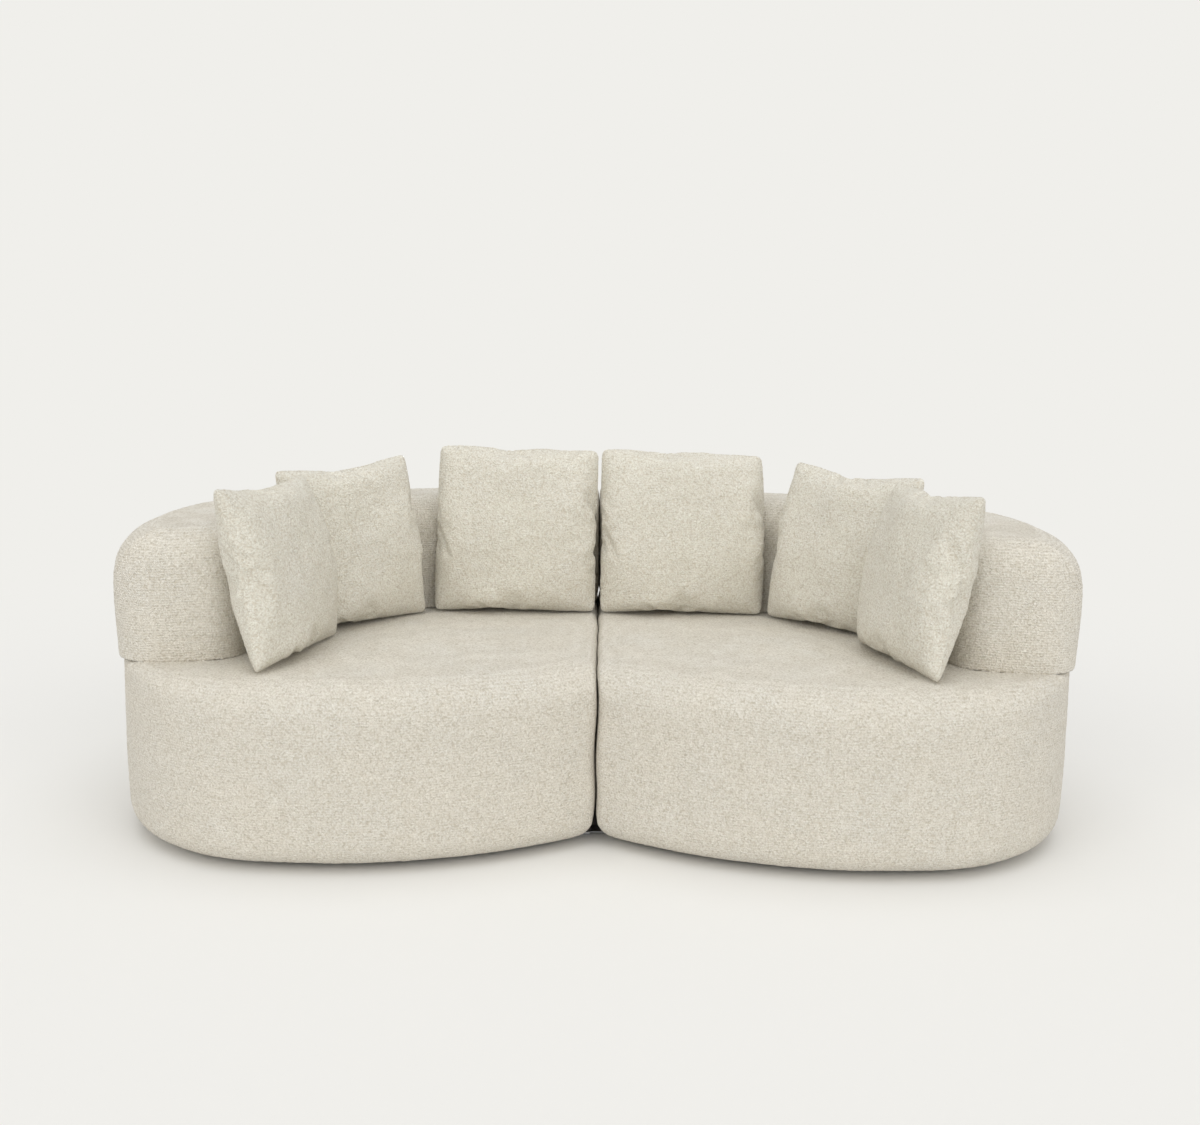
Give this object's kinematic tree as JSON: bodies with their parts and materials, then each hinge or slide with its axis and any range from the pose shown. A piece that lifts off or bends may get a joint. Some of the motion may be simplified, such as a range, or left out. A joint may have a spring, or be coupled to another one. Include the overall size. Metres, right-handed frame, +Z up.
{
  "type": "curved sofa",
  "caption": "Curved sofa in ivory looped fabric: two joined lobed modules with one arm and back band, and loose cushions leaning along it.",
  "frame": {"origin": "on the floor, at the centre of the sofa's footprint, in the plane of the seam between the modules", "axes": "+X to the right for someone who faces the sofa, +Y towards its back, +Z up"},
  "size_m": [2.4, 1.23, 0.892],
  "materials": {
    "boucle": "matte",
    "cushion_boucle": "matte",
    "foam": "matte",
    "fibre_fill": "matte",
    "plywood": "matte",
    "fibreboard": "matte",
    "webbing": "matte",
    "dust_cloth": "matte",
    "glide_plastic": "matte",
    "zinc_steel": "satin"
  },
  "bodies": {
    "left_module": {"left_base_cover": "boucle", "left_base_padding": "foam", "left_seat_foam": "foam", "left_back_cover": "boucle", "left_back_foam": "foam", "left_base_ribs": "plywood", "left_base_liner": "fibreboard", "left_back_liner": "fibreboard", "left_back_ribs": "plywood", "left_back_top_rail": "plywood", "left_back_sill": "plywood", "left_seat_ring": "plywood", "left_floor_ring": "plywood", "left_webbing": "webbing", "left_glides": "glide_plastic", "left_back_bolts": "zinc_steel", "left_tee_nuts": "zinc_steel", "left_dust_cover": "dust_cloth", "left_connector_jaws": "zinc_steel"},
    "right_module": {"right_base_cover": "boucle", "right_base_padding": "foam", "right_seat_foam": "foam", "right_back_cover": "boucle", "right_back_foam": "foam", "right_base_ribs": "plywood", "right_base_liner": "fibreboard", "right_back_liner": "fibreboard", "right_back_ribs": "plywood", "right_back_top_rail": "plywood", "right_back_sill": "plywood", "right_seat_ring": "plywood", "right_floor_ring": "plywood", "right_webbing": "webbing", "right_glides": "glide_plastic", "right_back_bolts": "zinc_steel", "right_tee_nuts": "zinc_steel", "right_dust_cover": "dust_cloth", "right_connector_tongues": "zinc_steel"},
    "left_centre_cushion": {"left_centre_cushion_cover": "cushion_boucle", "left_centre_cushion_filling": "fibre_fill"},
    "left_corner_cushion": {"left_corner_cushion_cover": "cushion_boucle", "left_corner_cushion_filling": "fibre_fill"},
    "left_arm_cushion": {"left_arm_cushion_cover": "cushion_boucle", "left_arm_cushion_filling": "fibre_fill"},
    "right_centre_cushion": {"right_centre_cushion_cover": "cushion_boucle", "right_centre_cushion_filling": "fibre_fill"},
    "right_corner_cushion": {"right_corner_cushion_cover": "cushion_boucle", "right_corner_cushion_filling": "fibre_fill"},
    "right_arm_cushion": {"right_arm_cushion_cover": "cushion_boucle", "right_arm_cushion_filling": "fibre_fill"}
  },
  "joints": [
    {"name": "right_module_slide", "type": "slide", "parent": "left_module", "child": "right_module", "axis": [1, 0, 0], "range_m": [0, 0.25]},
    {"name": "left_centre_cushion_lift", "type": "slide", "parent": "left_module", "child": "left_centre_cushion", "axis": [0, 0.1219, 0.9925], "range_m": [0, 0.45]},
    {"name": "left_corner_cushion_lift", "type": "slide", "parent": "left_module", "child": "left_corner_cushion", "axis": [-0.1206, 0.1249, 0.9848], "range_m": [0, 0.45]},
    {"name": "left_arm_cushion_lift", "type": "slide", "parent": "left_module", "child": "left_arm_cushion", "axis": [-0.2008, 0.0538, 0.9781], "range_m": [0, 0.45]},
    {"name": "right_centre_cushion_lift", "type": "slide", "parent": "right_module", "child": "right_centre_cushion", "axis": [0, 0.1219, 0.9925], "range_m": [0, 0.45]},
    {"name": "right_corner_cushion_lift", "type": "slide", "parent": "right_module", "child": "right_corner_cushion", "axis": [0.1206, 0.1249, 0.9848], "range_m": [0, 0.45]},
    {"name": "right_arm_cushion_lift", "type": "slide", "parent": "right_module", "child": "right_arm_cushion", "axis": [0.2008, 0.0538, 0.9781], "range_m": [0, 0.45]}
  ]
}
